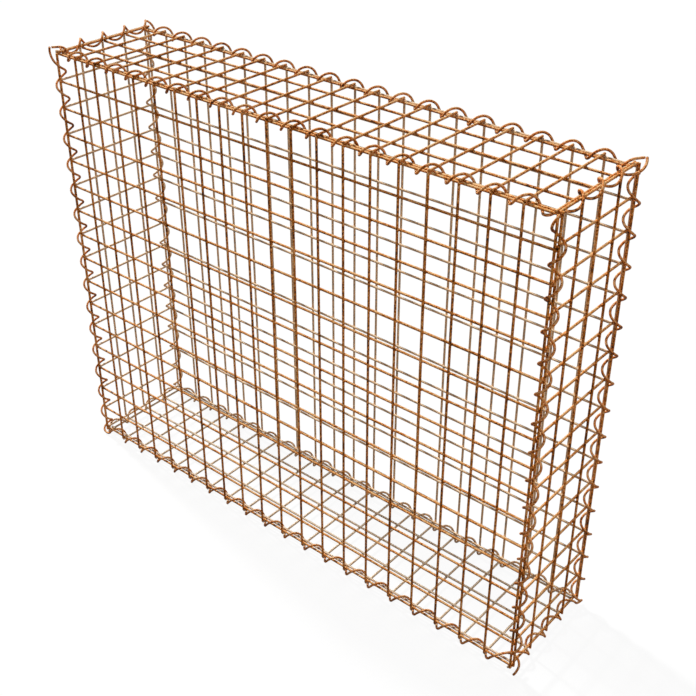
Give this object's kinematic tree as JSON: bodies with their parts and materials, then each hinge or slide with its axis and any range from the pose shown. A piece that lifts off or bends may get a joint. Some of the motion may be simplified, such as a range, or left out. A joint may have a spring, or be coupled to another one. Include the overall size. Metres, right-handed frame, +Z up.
{
  "type": "welded mesh gabion basket",
  "caption": "Empty rectangular basket of welded square wire mesh, its walls, lid and base laced together along every edge by spiral binders.",
  "frame": {"origin": "centre of the basket's plan at the level of the ground it stands on, the underside of its two long lower spirals", "axes": "+X along the length to the right seen from the front, +Y through the depth to the back, +Z up"},
  "size_m": [1.0297, 0.2225, 0.8304],
  "materials": {
    "mesh_wire": "bare mild steel wire under an even coat of dry rust",
    "lid_wire": "bare mild steel wire under an even coat of dry rust, lighter on top",
    "spiral_wire": "bare mild steel wire under an even coat of dry rust, darker in the bends"
  },
  "bodies": {
    "root": {"front_panel": "mesh_wire", "back_panel": "mesh_wire", "left_end_panel": "mesh_wire", "right_end_panel": "mesh_wire", "lid_panel": "lid_wire", "base_panel": "mesh_wire", "spiral_top_front": "spiral_wire", "spiral_top_rear": "spiral_wire", "spiral_bottom_front": "spiral_wire", "spiral_bottom_rear": "spiral_wire", "spiral_left_front": "spiral_wire", "spiral_left_rear": "spiral_wire", "spiral_right_front": "spiral_wire", "spiral_right_rear": "spiral_wire", "spiral_top_left": "spiral_wire", "spiral_top_right": "spiral_wire", "spiral_bottom_left": "spiral_wire", "spiral_bottom_right": "spiral_wire"}
  },
  "joints": []
}
